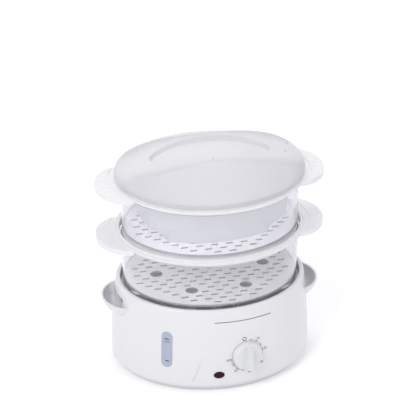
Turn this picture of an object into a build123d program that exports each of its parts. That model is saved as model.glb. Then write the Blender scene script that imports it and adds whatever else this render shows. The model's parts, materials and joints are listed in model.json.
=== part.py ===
"""Electric food steamer: base with timer, tank, drip tray, two baskets, rice bowl and lid.

Millimetres, +Z up. The origin is the middle of the ground plane under the feet,
+X runs to the right-hand handles and -Y is the front with the timer knob.
"""

from build123d import *
import math
import os

# ---------------------------------------------------------------- shared sizes
# The oval pieces are turned about Z and then pressed to their width, so every
# radius of an oval piece is its half-length along X.
OVAL = 0.84
SEAT_GAP = 0.3
RIM_FIT = 0.6
PIN_FIT = 0.05
# The most of one side of an outline that the roundings at its two ends may take.
SIDE_SHARE = 0.98

# Base housing
FOOT_HEIGHT = 1.5
COVER_HEIGHT = 5.0
HOUSING_HEIGHT = 110.7
HOUSING_RADIUS = 129.0
BELLY_LOW = (128.2, 38.0)
BELLY_HIGH = (125.5, 78.0)
HOUSING_SHOULDER_RADIUS = 121.8
HOUSING_WALL = 2.6
FOOT_ROUND = 6.5
BELLY_ROUND = 300.0
RIM_ROUND = 3.5
NEST_RADIUS = 116.0
BASE_NEST_DEPTH = 10.5
BOTTOM_OPENING_RADIUS = 118.5

# Filling ears at both ends of the base
EAR_ROOT = 108.0
EAR_REACH = 142.0
EAR_HALF_WIDTH = 40.0
EAR_LIP_DROP = 20.5
EAR_DEPTH = 17.5
EAR_WALL = 2.4
FILL_HALF_WIDTH = 26.0
FILL_HEIGHT = 19.0
FILL_DROP = 3.0
EAR_LOW_INSET = (13.0, 12.0)
EAR_MIDDLE_INSET = 3.0

# Water tank
TANK_WALL = 2.0
TANK_LEDGE_RADIUS = 109.0
TANK_LEDGE = 2.2
TANK_SKIRT = 25.0
TANK_WELL_RADIUS = 80.0
TANK_SHOULDER_DROP = 9.0
TANK_FLOOR_CLEARANCE = 17.5
TANK_CORNER = 10.0
HEATER_HOLE_RADIUS = 26.5

# Heating element under the tank floor
HEATER_RADIUS = 25.5
HEATER_RISE = 1.0
HEATER_FLANGE_RADIUS = 34.0
HEATER_FLANGE = 3.0
HEATER_LOWER_RADIUS = 28.0
HEATER_LOWER = 4.0
SEAL_HEIGHT = 2.0
CLAMP_THICKNESS = 1.5
CLAMP_MARGIN = 2.0
ELEMENT_TAB = (4.0, 3.0, 4.0)
ELEMENT_TAB_PLACE = (20.0, 15.5)
CLAMP_SCREW_CIRCLE = 44.0
CLAMP_EAR_RADIUS = 5.5
BOSS_RADIUS = 4.5
SCREW_RADIUS = 1.5
SCREW_HEAD_RADIUS = 3.2
SCREW_HEAD = 2.0
THERMOSTAT_RADIUS = 8.0
THERMOSTAT_HEIGHT = 5.5
THERMOSTAT_OFFSET = 13.0
FUSE_RADIUS = 2.2
FUSE_LENGTH = 16.0

# Bottom cover, feet and bottom screws
COVER_RADIUS = 120.5
COVER_PLATE = 2.5
COVER_LIP = 2.0
FOOT_RADIUS = 7.5
FOOT_STEM_RADIUS = 2.4
FOOT_PLACE = (62.0, 66.0)
BOTTOM_SCREW_PLACE = (98.0, 36.0)
BOTTOM_BOSS_HEIGHT = 30.0
BOSS_WEB = 2.4
SCREW_LENGTH = 12.0
COUNTERBORE_DEPTH = 1.3
VENT_COUNT = 7
VENT_PITCH = 9.0
VENT_SIZE = (3.0, 34.0)

# Timer, knob and the front fittings, each placed on the housing wall
KNOB_PLACE = (24.0, 50.0)
KNOB_RADIUS = 19.5
KNOB_HEIGHT = 8.5
KNOB_GRIP_RISE = 8.5
KNOB_GRIP_WIDTH = 10.0
KNOB_TIP_WIDTH = 4.5
KNOB_GAP = 0.8
KNOB_LIFT = 0.4
KNOB_WELL_DEPTH = 2.0
TIMER_PAD = 4.0
PAD_REACH = 30.0
TIMER_PLATE = (44.0, 38.0, 1.2)
TIMER_CASE = (40.0, 36.0, 19.0)
BELL_RADIUS = 15.0
BELL_HEIGHT = 7.0
BELL_WALL = 1.0
BELL_POST_RADIUS = 3.0
SHAFT_RADIUS = 3.0
SHAFT_FLAT = 0.8
BUSH_RADIUS = 4.8
TIMER_SCREW_SPACING = 30.0
TIMER_HEAD_SINK = 1.4
TIMER_HEAD = 1.2
LAMP_PLACE = (-12.6, 26.5)
LAMP_SIZE = (14.0, 10.0)
LAMP_DOME = 1.4
LAMP_PROUD = 0.3
COLLAR_WALL = 1.3
COLLAR_LENGTH = 6.0
NEON_RADIUS = 3.0
NEON_LENGTH = 13.0
WINDOW_PLACE = (-75.5, 60.3)
WINDOW_SIZE = (14.6, 50.3)
WINDOW_PROUD = 0.6
FITTING_DEPTH = 1.0
WINDOW_DEPTH = 2.0
CHAMBER_DEPTH = 10.0
CHAMBER_HEIGHT = 40.0
CHAMBER_DROP = 2.5
CHAMBER_WALL = 1.2
NIPPLE_RADIUS = 3.0
NIPPLE_WALL = 1.0
NIPPLE_LENGTH = 7.0
NIPPLE_HEIGHT = 42.0
HOSE_WALL = 1.5
GROOVE_PLACES = ((-33.4, 55.5), (-37.8, 38.0), (-45.9, 16.5))
GROOVE_WIDTH = 2.6
GROOVE_DEPTH = 0.8

# Terminal block and cord gland at the rear
TERMINAL_SIZE = (34.0, 14.0, 13.0)
TERMINAL_PLACE = 76.0
TERMINAL_PITCH = 10.625
TERMINAL_SCREW_RADIUS = 2.2
TERMINAL_BORE_RADIUS = 1.8
GLAND_HEIGHT = 19.0
GLAND_NECK_RADIUS = 5.5
GLAND_FLANGE_RADIUS = 8.0
GLAND_TAIL = 10.7
GLAND_BORE_RADIUS = 3.3

# Steam sleeve and drip tray
SLEEVE_RADIUS = 28.6
SLEEVE_WALL = 1.6
SLEEVE_OVERLAP = 6.0
SLEEVE_NOTCH = (10.0, 6.0)
TRAY_WALL = 1.8
TRAY_LIP = 2.2
TRAY_DEPTH = 25.5
TRAY_FLOOR_RADIUS = 90.0
CHIMNEY_RADIUS = 31.0
CHIMNEY_RISE = 6.0
CHIMNEY_CAP = 2.5
STEAM_WINDOW = (19.0, 8.0)
STEAM_WINDOW_COUNT = 6
RIB_WIDTH = 2.4
RIB_PROUD = 0.9

# Baskets and their grids
BASKET_HEIGHT = 79.5
BASKET_NEST_DEPTH = 8.0
BASKET_FOOT_RADIUS = 112.5
BASKET_FOOT_INNER = 109.8
BASKET_WALL_FLARE = 1.0
BASKET_WALL = 2.6
BASKET_LEDGE_RADIUS = 110.3
BASKET_SHELL = 2.4
BASKET_FLANGE_RADIUS = 124.0
BASKET_FLANGE_DROP = 2.2
BASKET_FLANGE = 1.8
GRID_SEAT = 9.5
GRID_LEDGE_RADIUS = 106.5
GRID_THICKNESS = 2.5
SLOT_SIZE = (9.0, 3.6)
SLOT_PITCH = (19.0, 9.5)
GRID_BORDER = 6.0
EGG_HOLE_RADIUS = 8.0
EGG_RING_RADIUS = 70.0
EGG_HOLE_COUNT = 6
# How far the middle of a slot keeps from an egg hole, along X and along Y.
EGG_BORDER = (6.0, 3.0)
HANDLE_REACH = 147.0
HANDLE_HALF_WIDTH = 47.0
HANDLE_DROP = 3.0
HANDLE_PLATE = 2.0
HANDLE_SKIRT = 7.0
# Places on one side of a handle, as shares of its reach and of its half-width.
HANDLE_CURVE = ((0.0, 1.0), (0.33, 0.93), (0.7, 0.7), (0.91, 0.42))
GRIP_LINE_SIZE = (11.0, 1.4, 0.6)
GRIP_LINE_PITCH = 8.0
TROUGH_WIDTH = 4.5
TROUGH_DEPTH = 1.1

# Rice bowl
BOWL_HEIGHT = 54.0
BOWL_HALF_LENGTH = 95.0
BOWL_HALF_WIDTH = 67.0
BOWL_CORNER = (88.0, 51.0)
BOWL_CORNER_ROUND = 14.0
BOWL_WALL = 2.0
BOWL_RIM = 2.2
BOWL_UPPER_DEPTH = 32.0
BOWL_SHOULDER = 13.0
BOWL_SHOULDER_INSET = 17.0
BOWL_BOTTOM_INSET = 19.0
BOWL_DRAFT = 1.5
BOWL_LOOP_REACH = 107.5
BOWL_LOOP_HALF_WIDTH = 19.0
BOWL_LOOP_SLOT = (6.0, 24.0)
BOWL_LOOP_BAR = 3.6
BOWL_LOOP_THICKNESS = 3.0
BOWL_LOOP_ROUND = 5.5
BOWL_SLOT_ROUND = 2.5

# Lid
LID_RADIUS = 121.0
LID_SKIRT = 6.0
LID_HEIGHT = 34.0
LID_END_INSET = 4.0
LID_END_HEIGHT = 14.0
# Each is an inset at the ends, a half-width and a height.
LID_FLANK = (2.8, 74.0, 19.0)
LID_BROW = (11.0, 32.0, 38.0)
LID_CREASE_ROUND = 8.0
LID_WALL = 2.2
LID_RIB_RADIUS = 113.5
LID_RIB_DEPTH = 4.0
LID_DISH = (80.0, 33.0)
LID_DISH_DEPTH = 6.5
LID_DISH_SLOPE = 7.0
LID_WEB = 3.0
STEAM_HOLE_RADIUS = 2.0
STEAM_HOLE_PLACES = ((95.7, -6.0), (104.5, 18.0))

# ------------------------------------------------------- heights that follow
COVER_TOP = FOOT_HEIGHT + COVER_HEIGHT
HOUSING_BOTTOM = COVER_TOP + SEAT_GAP
BASE_TOP = HOUSING_BOTTOM + HOUSING_HEIGHT
TANK_TOP = BASE_TOP - BASE_NEST_DEPTH
TANK_RADIUS = NEST_RADIUS + 3.0
TANK_FLOOR = COVER_TOP + TANK_FLOOR_CLEARANCE
TANK_FLOOR_TOP = TANK_FLOOR + TANK_WALL
SEAL_LOW = TANK_FLOOR - SEAL_HEIGHT
FLANGE_LOW = SEAL_LOW - HEATER_FLANGE
CLAMP_TOP = FLANGE_LOW
HEATER_LOW = FLANGE_LOW - HEATER_LOWER
TRAY_TOP = TANK_TOP + SEAT_GAP + TRAY_LIP
TRAY_FLOOR = TRAY_TOP - TRAY_DEPTH
CHIMNEY_TOP = TRAY_TOP + CHIMNEY_RISE
LOWER_FOOT = TRAY_TOP + SEAT_GAP
UPPER_FOOT = LOWER_FOOT + BASKET_HEIGHT - BASKET_NEST_DEPTH + SEAT_GAP
GRID_TOP = GRID_SEAT + SEAT_GAP + GRID_THICKNESS
BOWL_FOOT = UPPER_FOOT + GRID_TOP + SEAT_GAP
LID_FOOT = UPPER_FOOT + BASKET_HEIGHT + SEAT_GAP
EAR_LIP = BASE_TOP - EAR_LIP_DROP
FILL_TOP = TANK_TOP - FILL_DROP
# Distances from the outer wall, outwards, on the knob's and the fittings' planes.
TIMER_FRONT = -KNOB_WELL_DEPTH - TIMER_PAD
TIMER_SCREW_SEAT = -KNOB_WELL_DEPTH - TIMER_HEAD_SINK
KNOB_LOW = KNOB_LIFT - KNOB_WELL_DEPTH
FITTING_BACK = -HOUSING_WALL - FITTING_DEPTH


# ------------------------------------------------------------------- helpers
def fitted_rounds(points, rounds):
    """The roundings asked for, each made smaller only where a side lacks room for those at its two ends."""
    count = len(points)
    sides = [Vector(*points[(i + 1) % count]) - Vector(*points[i]) for i in range(count)]
    turns = [math.radians(sides[i - 1].get_angle(sides[i])) for i in range(count)]
    needs = [rounding * math.tan(turn / 2) for rounding, turn in zip(rounds, turns)]
    taken = [needs[i] + needs[(i + 1) % count] for i in range(count)]
    room = [min(1, SIDE_SHARE * side.length / need) if need else 1 for side, need in zip(sides, taken)]
    return [rounds[i] * min(room[i - 1], room[i]) for i in range(count)]


def outline(*corners):
    """Closed face in the X-Z plane; a corner is (radius, height) or (radius, height, rounding)."""
    points = [corner[:2] for corner in corners]
    rounds = [corner[2] if len(corner) > 2 else 0 for corner in corners]
    radii = fitted_rounds(points, rounds)
    return Plane.XZ * make_face(FilletPolyline(*points, radius=radii, close=True).edges())


def turned(*corners):
    """Round solid: the outline turned about Z."""
    return revolve(outline(*corners), Axis.Z)


def pressed(solid, ratio=OVAL):
    """A turned solid pressed to its width along Y."""
    return scale(solid, by=(1, ratio, 1), about=(0, 0, 0))


def oval(*corners):
    """Oval solid from an outline."""
    return pressed(turned(*corners))


def cylinder(radius, low, high, x=0.0, y=0.0):
    """Upright round solid between two heights."""
    return Pos(x, y, low) * extrude(Circle(radius), high - low)


def block(x_range, y_range, z_range):
    """Box between two corners."""
    size = [b - a for a, b in (x_range, y_range, z_range)]
    middle = [(a + b) / 2 for a, b in (x_range, y_range, z_range)]
    return Pos(*middle) * Box(*size)


def both_ends(solid):
    """The solid and its mirror image at the other end of the object."""
    return [solid, mirror(solid, Plane.YZ)]


def four_places(place):
    """The same place in each quarter of the plan."""
    return [(sx * place[0], sy * place[1]) for sx in (1, -1) for sy in (1, -1)]


def wall_corners():
    """Corners of the housing wall from the bottom to the top, before rounding."""
    return (
        (HOUSING_RADIUS, HOUSING_BOTTOM),
        (BELLY_LOW[0], HOUSING_BOTTOM + BELLY_LOW[1]),
        (BELLY_HIGH[0], HOUSING_BOTTOM + BELLY_HIGH[1]),
        (HOUSING_SHOULDER_RADIUS, BASE_TOP),
    )


def wall_radius(height):
    """Outer half-length of the housing wall at a height."""
    corners = wall_corners()
    for (r_low, low), (r_high, high) in zip(corners, corners[1:]):
        if height <= high:
            return r_low + (r_high - r_low) * (height - low) / (high - low)
    return corners[-1][0]


def wall_core(inset, low, high):
    """Filled oval between two heights that stays an inset behind the outer wall."""
    return oval((0, low), (wall_radius(low) - inset, low), (wall_radius(high) - inset, high), (0, high))


def wall_plane(place, rear=False):
    """Plane on the outer wall at (x, height): its Z points out, its Y points up."""
    x, height = place
    radius = wall_radius(height)
    side = 1 if rear else -1
    y = side * OVAL * math.sqrt(radius**2 - x**2)
    outward = Vector(x, y / OVAL**2, 0).normalized()
    along = Vector(0, 0, 1).cross(outward)
    return Plane(origin=(x, y, height), x_dir=along, z_dir=outward)


def disc(plane, radius, low, high, u=0.0, v=0.0):
    """Round solid on a wall plane between two distances from the wall."""
    return plane * (Pos(u, v, low) * extrude(Circle(radius), high - low))


def slab(plane, size, low, high, u=0.0, v=0.0):
    """Rectangular solid on a wall plane between two distances from the wall."""
    return plane * (Pos(u, v, low) * extrude(Rectangle(*size), high - low))


def plain(part):
    """One solid, or a compound of several, ready to be written."""
    solids = part.solids()
    return solids[0] if len(solids) == 1 else Compound(children=solids)


# ------------------------------------------------------------------ the base
def ear_shape(inset, low, high):
    """Scoop that widens upwards: ellipses of growing size, lofted."""
    def section(reach, half_width, height):
        return Pos(EAR_ROOT, 0, height) * Ellipse(reach - EAR_ROOT - inset, half_width - inset)

    middle = low + 0.5 * (high - low)
    return loft(
        [
            section(EAR_REACH - EAR_LOW_INSET[0], EAR_HALF_WIDTH - EAR_LOW_INSET[1], low),
            section(EAR_REACH - EAR_MIDDLE_INSET, EAR_HALF_WIDTH - EAR_MIDDLE_INSET, middle),
            section(EAR_REACH, EAR_HALF_WIDTH, high),
        ]
    )


def fill_opening(x_range, grow=0.0):
    """Way for water from an ear into the tank."""
    half = FILL_HALF_WIDTH + grow
    return block(x_range, (-half, half), (FILL_TOP - FILL_HEIGHT - grow, FILL_TOP + grow))


def housing_shell():
    """Oval wall that leans in towards a thick rim, with a bottom lip."""
    low = HOUSING_BOTTOM
    wall = HOUSING_WALL
    foot, belly_low, belly_high, shoulder = wall_corners()
    return oval(
        (BOTTOM_OPENING_RADIUS, low),
        (*foot, FOOT_ROUND),
        (*belly_low, BELLY_ROUND),
        (*belly_high, BELLY_ROUND),
        (*shoulder, RIM_ROUND),
        (NEST_RADIUS, BASE_TOP, 0.8),
        (NEST_RADIUS, TANK_TOP),
        (wall_radius(TANK_TOP) - wall, TANK_TOP),
        (belly_high[0] - wall, belly_high[1], BELLY_ROUND),
        (belly_low[0] - wall, belly_low[1], BELLY_ROUND),
        (foot[0] - wall, low + wall, FOOT_ROUND - wall),
        (BOTTOM_OPENING_RADIUS, low + wall),
    )


def make_housing():
    """Housing shell with its ears, knob well, bosses and the holes of its fittings."""
    ear_low = EAR_LIP - EAR_DEPTH
    ear = ear_shape(0, ear_low, EAR_LIP)
    ear -= ear_shape(EAR_WALL, ear_low + EAR_WALL, EAR_LIP + 0.01)
    ear -= wall_core(HOUSING_WALL / 2, ear_low - 1, EAR_LIP + 1)
    low, high = bottom_boss_heights()
    core = wall_core(HOUSING_WALL / 2, HOUSING_BOTTOM + FOOT_ROUND, high)
    webs = [boss_web(x, y, high) & core for x, y in four_places(BOTTOM_SCREW_PLACE)]
    bosses = [cylinder(BOSS_RADIUS, low, high, x, y) for x, y in four_places(BOTTOM_SCREW_PLACE)]
    pad = knob_pad() & wall_core(HOUSING_WALL / 2, KNOB_PLACE[1] - PAD_REACH, KNOB_PLACE[1] + PAD_REACH)
    body = housing_shell() + [*both_ends(ear), *webs, *bosses, pad]
    hole = SCREW_RADIUS + PIN_FIT
    hollow = fill_opening((EAR_ROOT, EAR_REACH - 16.0))
    return body - [
        *both_ends(hollow),
        *[cylinder(hole, low - 1, low + SCREW_LENGTH + 1, x, y) for x, y in four_places(BOTTOM_SCREW_PLACE)],
        knob_holes(),
        groove_shape(),
        lamp_shape(0, -HOUSING_WALL - 2, 3),
        window_shape(0, -HOUSING_WALL - 3, 3),
        disc(gland_plane(), GLAND_NECK_RADIUS + PIN_FIT, -HOUSING_WALL - 2, 2),
    ]


def groove_shape():
    """Shallow crescent groove down the front, widest in its middle."""
    plane = wall_plane(GROOVE_PLACES[1])
    x_middle, z_middle = GROOVE_PLACES[1]
    top, middle, foot = [((x - x_middle) / plane.x_dir.X, z - z_middle) for x, z in GROOVE_PLACES]
    left = ThreePointArc(top, (middle[0] - GROOVE_WIDTH / 2, middle[1]), foot)
    right = ThreePointArc(foot, (middle[0] + GROOVE_WIDTH / 2, middle[1]), top)
    sliver = make_face([*left.edges(), *right.edges()])
    return plane * (Pos(0, 0, -GROOVE_DEPTH) * extrude(sliver, 4.0))


def bottom_boss_heights():
    """Foot and top of the bosses that take the bottom screws."""
    low = FOOT_HEIGHT + COVER_PLATE + SEAT_GAP
    return low, low + BOTTOM_BOSS_HEIGHT


def boss_web(x, y, high):
    """Web between a bottom boss and the wall."""
    reach = math.copysign(HOUSING_RADIUS, x)
    half = BOSS_WEB / 2
    return block(sorted((x, reach)), (y - half, y + half), (HOUSING_BOTTOM + FOOT_ROUND, high))


def make_bottom_cover():
    """Shallow pan that closes the housing, with vents, screw seats and foot holes."""
    low = FOOT_HEIGHT
    inner = COVER_RADIUS - COVER_LIP
    cover = oval(
        (0, low),
        (COVER_RADIUS, low, 2.0),
        (COVER_RADIUS, COVER_TOP),
        (inner, COVER_TOP),
        (inner, low + COVER_PLATE),
        (0, low + COVER_PLATE),
    )
    for x, y in four_places(FOOT_PLACE):
        cover -= cylinder(FOOT_STEM_RADIUS + PIN_FIT, low - 1, low + 5, x, y)
    for x, y in four_places(BOTTOM_SCREW_PLACE):
        cover -= cylinder(SCREW_RADIUS + PIN_FIT, low - 1, low + 5, x, y)
        cover -= cylinder(SCREW_HEAD_RADIUS + 0.5, low - 1, low + COUNTERBORE_DEPTH, x, y)
    vents = GridLocations(VENT_PITCH, 1, VENT_COUNT, 1)
    slots = [Pos(0, 0, low - 1) * spot * extrude(Rectangle(*VENT_SIZE), COVER_PLATE + 2) for spot in vents]
    return cover - slots


def make_feet():
    """Four rubber feet with push-in stems."""
    stem_top = FOOT_HEIGHT + COVER_PLATE
    return [
        cylinder(FOOT_RADIUS, 0, FOOT_HEIGHT, x, y) + cylinder(FOOT_STEM_RADIUS, 0, stem_top, x, y)
        for x, y in four_places(FOOT_PLACE)
    ]


def screw(length, head=SCREW_HEAD):
    """Screw with its head below and its tip up; the head's bearing face is at height 0."""
    head_solid = Pos(0, 0, -head) * extrude(Circle(SCREW_HEAD_RADIUS), head)
    return head_solid + extrude(Circle(SCREW_RADIUS), length)


def make_bottom_screws():
    """Four screws from below, their heads sunk in the cover."""
    seat = FOOT_HEIGHT + COUNTERBORE_DEPTH
    length = COVER_PLATE - COUNTERBORE_DEPTH + SEAT_GAP + SCREW_LENGTH
    return [Pos(x, y, seat) * screw(length, COUNTERBORE_DEPTH) for x, y in four_places(BOTTOM_SCREW_PLACE)]


# ---------------------------------------------------------------- water tank
def nipple_axis():
    """Plane on the level window, at the height of the hose, with Z pointing out."""
    plane = wall_plane(WINDOW_PLACE)
    return plane.offset(0) * Pos(0, NIPPLE_HEIGHT - WINDOW_PLACE[1], 0)


def tank_nipple_depth():
    """Distance from the outer wall, along the hose, to the tank's well."""
    plane = wall_plane(WINDOW_PLACE)
    depth = 0.0
    while depth < TANK_RADIUS:
        point = plane.origin - plane.z_dir * depth
        if math.hypot(point.X, point.Y / OVAL) < TANK_WELL_RADIUS:
            break
        depth += 0.05
    return depth


def hose_tube(radius, near, far):
    """Round solid along the hose's axis, between two depths behind the outer wall."""
    return nipple_axis() * (Pos(0, 0, -far) * extrude(Circle(radius), far - near))


def make_tank():
    """Oval tank: a wide collar under the rim, a well in the middle and two filling chutes."""
    well = TANK_WELL_RADIUS
    skirt_low = TANK_TOP - TANK_SKIRT
    well_top = skirt_low - TANK_SHOULDER_DROP
    wall = TANK_WALL
    tank = oval(
        (0, TANK_FLOOR),
        (well, TANK_FLOOR, TANK_CORNER),
        (well, well_top, 3.0),
        (TANK_RADIUS, skirt_low, 4.0),
        (TANK_RADIUS, TANK_TOP),
        (TANK_LEDGE_RADIUS, TANK_TOP),
        (TANK_LEDGE_RADIUS, TANK_TOP - TANK_LEDGE),
        (TANK_RADIUS - wall, TANK_TOP - TANK_LEDGE),
        (TANK_RADIUS - wall, skirt_low + 1.5 * wall, 3.0),
        (well - wall, well_top + wall, 3.0),
        (well - wall, TANK_FLOOR_TOP, TANK_CORNER - wall),
        (0, TANK_FLOOR_TOP),
    )
    tank -= cylinder(HEATER_HOLE_RADIUS, TANK_FLOOR - 1, TANK_FLOOR_TOP + 1)
    inside = wall_core(HOUSING_WALL + PIN_FIT, FILL_TOP - FILL_HEIGHT - 5, TANK_TOP)
    duct = fill_opening((TANK_RADIUS - 12.0, HOUSING_RADIUS), TANK_WALL) & inside
    core = TANK_RADIUS - wall / 2
    duct -= oval((0, skirt_low - 9), (core, skirt_low - 9), (core, TANK_TOP + 1), (0, TANK_TOP + 1))
    hollow = fill_opening((TANK_RADIUS - 16.0, HOUSING_RADIUS))
    for end_duct, end_hollow in zip(both_ends(duct), both_ends(hollow)):
        tank += end_duct
        tank -= end_hollow
    for x, y in clamp_screw_places():
        tank += cylinder(BOSS_RADIUS, CLAMP_TOP, TANK_FLOOR, x, y)
        tank -= cylinder(SCREW_RADIUS + PIN_FIT, CLAMP_TOP - 1, TANK_FLOOR - 0.3, x, y)
    depth = tank_nipple_depth()
    tank += hose_tube(NIPPLE_RADIUS, depth - NIPPLE_LENGTH, depth + 1.5)
    tank -= hose_tube(NIPPLE_RADIUS - NIPPLE_WALL, depth - NIPPLE_LENGTH - 1, depth + 4.0)
    return tank


# ------------------------------------------------------------ heating element
def clamp_screw_places():
    """Three places round the heating element."""
    angles = [math.radians(30 + 120 * i) for i in range(3)]
    return [(CLAMP_SCREW_CIRCLE * math.cos(a), CLAMP_SCREW_CIRCLE * math.sin(a)) for a in angles]


def make_heating_element():
    """Cast plate that closes the hole in the tank floor, with the element ring below it."""
    top = TANK_FLOOR_TOP + HEATER_RISE
    plate = turned(
        (0, HEATER_LOW),
        (HEATER_LOWER_RADIUS, HEATER_LOW),
        (HEATER_LOWER_RADIUS, FLANGE_LOW),
        (HEATER_FLANGE_RADIUS, FLANGE_LOW),
        (HEATER_FLANGE_RADIUS, SEAL_LOW),
        (HEATER_RADIUS, SEAL_LOW),
        (HEATER_RADIUS, top, 1.5),
        (0, top),
    )
    width, thickness, length = ELEMENT_TAB
    x, y = ELEMENT_TAB_PLACE
    for side in (-x, x):
        tab = Pos(side, y, HEATER_LOW - length / 2) * Box(width, thickness, length)
        plate += tab
    return plate


def make_heater_seal():
    """Silicone ring between the element's flange and the tank floor."""
    return cylinder(HEATER_FLANGE_RADIUS - 0.5, SEAL_LOW, TANK_FLOOR) - cylinder(
        HEATER_HOLE_RADIUS + 0.3, SEAL_LOW - 1, TANK_FLOOR + 1
    )


def make_heater_clamp():
    """Steel ring with three ears that presses the element up against its seal."""
    low = CLAMP_TOP - CLAMP_THICKNESS
    ring = cylinder(HEATER_FLANGE_RADIUS + CLAMP_MARGIN, low, CLAMP_TOP)
    half = CLAMP_EAR_RADIUS
    ear = block((HEATER_LOWER_RADIUS + CLAMP_MARGIN, CLAMP_SCREW_CIRCLE), (-half, half), (low, CLAMP_TOP))
    for x, y in clamp_screw_places():
        ring += cylinder(half, low, CLAMP_TOP, x, y)
        ring += Rot(0, 0, math.degrees(math.atan2(y, x))) * ear
    ring -= cylinder(HEATER_LOWER_RADIUS + 0.5, low - 1, CLAMP_TOP + 1)
    for x, y in clamp_screw_places():
        ring -= cylinder(SCREW_RADIUS + PIN_FIT, low - 1, CLAMP_TOP + 1, x, y)
    return ring


def make_heater_screws():
    """Three screws from below through the clamp into the tank's bosses."""
    seat = CLAMP_TOP - CLAMP_THICKNESS
    length = CLAMP_THICKNESS + (TANK_FLOOR - CLAMP_TOP) - 0.8
    return [Pos(x, y, seat) * screw(length) for x, y in clamp_screw_places()]


def make_thermostat():
    """Snap disc thermostat under the element, with two blades."""
    low = HEATER_LOW - THERMOSTAT_HEIGHT
    body = cylinder(THERMOSTAT_RADIUS, low, HEATER_LOW, -THERMOSTAT_OFFSET)
    for y in (-4.0, 4.0):
        x = -THERMOSTAT_OFFSET - THERMOSTAT_RADIUS
        body += block((x - 4, x + 3), (y - 1.5, y + 1.5), (low + 1.5, low + 2.3))
    return body


def make_fuse():
    """Thermal fuse lying under the element."""
    height = HEATER_LOW - FUSE_RADIUS - 0.1
    tube = Rot(-90, 0, 0) * extrude(Circle(FUSE_RADIUS), FUSE_LENGTH)
    return Pos(THERMOSTAT_OFFSET, -FUSE_LENGTH / 2, height) * tube


# ------------------------------------------------------------ timer and knob
def knob_plane():
    """Plane on the wall at the knob's axis."""
    return wall_plane(KNOB_PLACE)


def knob_pad():
    """Thick round pad behind the knob's well."""
    return disc(knob_plane(), KNOB_RADIUS + KNOB_GAP + 3, -KNOB_WELL_DEPTH - TIMER_PAD, 0)


def knob_holes():
    """Well of the knob with the holes of the timer's bush and screws."""
    plane = knob_plane()
    well = disc(plane, KNOB_RADIUS + KNOB_GAP, -KNOB_WELL_DEPTH, 8)
    back = -KNOB_WELL_DEPTH - TIMER_PAD - 2
    well += disc(plane, BUSH_RADIUS + PIN_FIT, back, 0)
    for u in (-1, 1):
        well += disc(plane, SCREW_RADIUS + PIN_FIT, back, 0, u * TIMER_SCREW_SPACING / 2)
        well += disc(plane, SCREW_HEAD_RADIUS + 0.3, TIMER_SCREW_SEAT, 0, u * TIMER_SCREW_SPACING / 2)
    return well


def make_timer_body():
    """Clockwork case with its mounting plate and threaded bush."""
    plane = knob_plane()
    back = TIMER_FRONT - TIMER_PLATE[2]
    body = slab(plane, TIMER_PLATE[:2], back, TIMER_FRONT)
    body += slab(plane, TIMER_CASE[:2], back - TIMER_CASE[2], back)
    body += disc(plane, BUSH_RADIUS, TIMER_FRONT, -KNOB_WELL_DEPTH - 0.2)
    body -= disc(plane, SHAFT_RADIUS + PIN_FIT, back - 8, 0)
    for u in (-1, 1):
        body -= disc(plane, SCREW_RADIUS + PIN_FIT, back - 5, 0, u * TIMER_SCREW_SPACING / 2)
    return body


def make_timer_bell():
    """Bell cup on the back of the clockwork."""
    plane = knob_plane()
    seat = TIMER_FRONT - TIMER_PLATE[2] - TIMER_CASE[2]
    end = seat - BELL_HEIGHT
    cup = disc(plane, BELL_RADIUS, end, seat - BELL_WALL)
    cup -= disc(plane, BELL_RADIUS - BELL_WALL, end + BELL_WALL, seat)
    return cup + disc(plane, BELL_POST_RADIUS, end, seat)


def make_timer_screws():
    """Two screws that hold the timer, hidden under the knob."""
    plane = knob_plane()
    seat = TIMER_SCREW_SEAT
    length = TIMER_PAD - TIMER_HEAD_SINK + TIMER_PLATE[2] + 3
    screws = []
    for u in (-1, 1):
        offset = u * TIMER_SCREW_SPACING / 2
        head = disc(plane, SCREW_HEAD_RADIUS, seat, seat + TIMER_HEAD, offset)
        screws.append(head + disc(plane, SCREW_RADIUS, seat - length, seat, offset))
    return screws


def tapered_face(half, low, tip, high):
    """Four-sided face that narrows from one half-width to another along Y."""
    return make_face(Polyline((-half, low), (half, low), (tip, high), (-tip, high), close=True))


def make_knob():
    """Round skirt with a raised grip that narrows to the pointer."""
    low = KNOB_LOW
    top = low + KNOB_HEIGHT
    skirt = turned((0, low), (KNOB_RADIUS, low, 0.5), (KNOB_RADIUS - 1.0, top, 2.0), (0, top))
    half, tip = KNOB_GRIP_WIDTH / 2, KNOB_TIP_WIDTH / 2
    reach = KNOB_RADIUS - 0.8
    foot = tapered_face(half, -reach + 1, tip, reach)
    crest = tapered_face(half - 2, -reach + 4, tip - 0.8, reach - 1)
    grip = loft([Pos(0, 0, top - 3) * foot, Pos(0, 0, top + KNOB_GRIP_RISE) * crest])
    knob = skirt + grip
    bore = extrude(Circle(SHAFT_RADIUS + PIN_FIT), 9.0) - block(
        (-SHAFT_RADIUS - 1, SHAFT_RADIUS + 1), (SHAFT_RADIUS - SHAFT_FLAT + PIN_FIT, 9), (3.0, 9.0)
    )
    knob -= Pos(0, 0, low - 0.01) * bore
    return knob_plane() * knob


def make_timer_shaft():
    """D-shaped shaft from the clockwork into the knob."""
    low = KNOB_LOW
    start = TIMER_FRONT - 6.0
    end = low + 8.5
    shaft = Pos(0, 0, start) * extrude(Circle(SHAFT_RADIUS), end - start)
    wide = SHAFT_RADIUS + 1
    shaft -= block((-wide, wide), (SHAFT_RADIUS - SHAFT_FLAT, 9), (low + 2.8, end + 1))
    return knob_plane() * shaft


# -------------------------------------------------- lamp, window, hose, cord
def lamp_shape(grow, low, high):
    """Oval solid at the indicator."""
    half_long, half_high = LAMP_SIZE[0] / 2 + grow, LAMP_SIZE[1] / 2 + grow
    return wall_plane(LAMP_PLACE) * (Pos(0, 0, low) * extrude(Ellipse(half_long, half_high), high - low))


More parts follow.
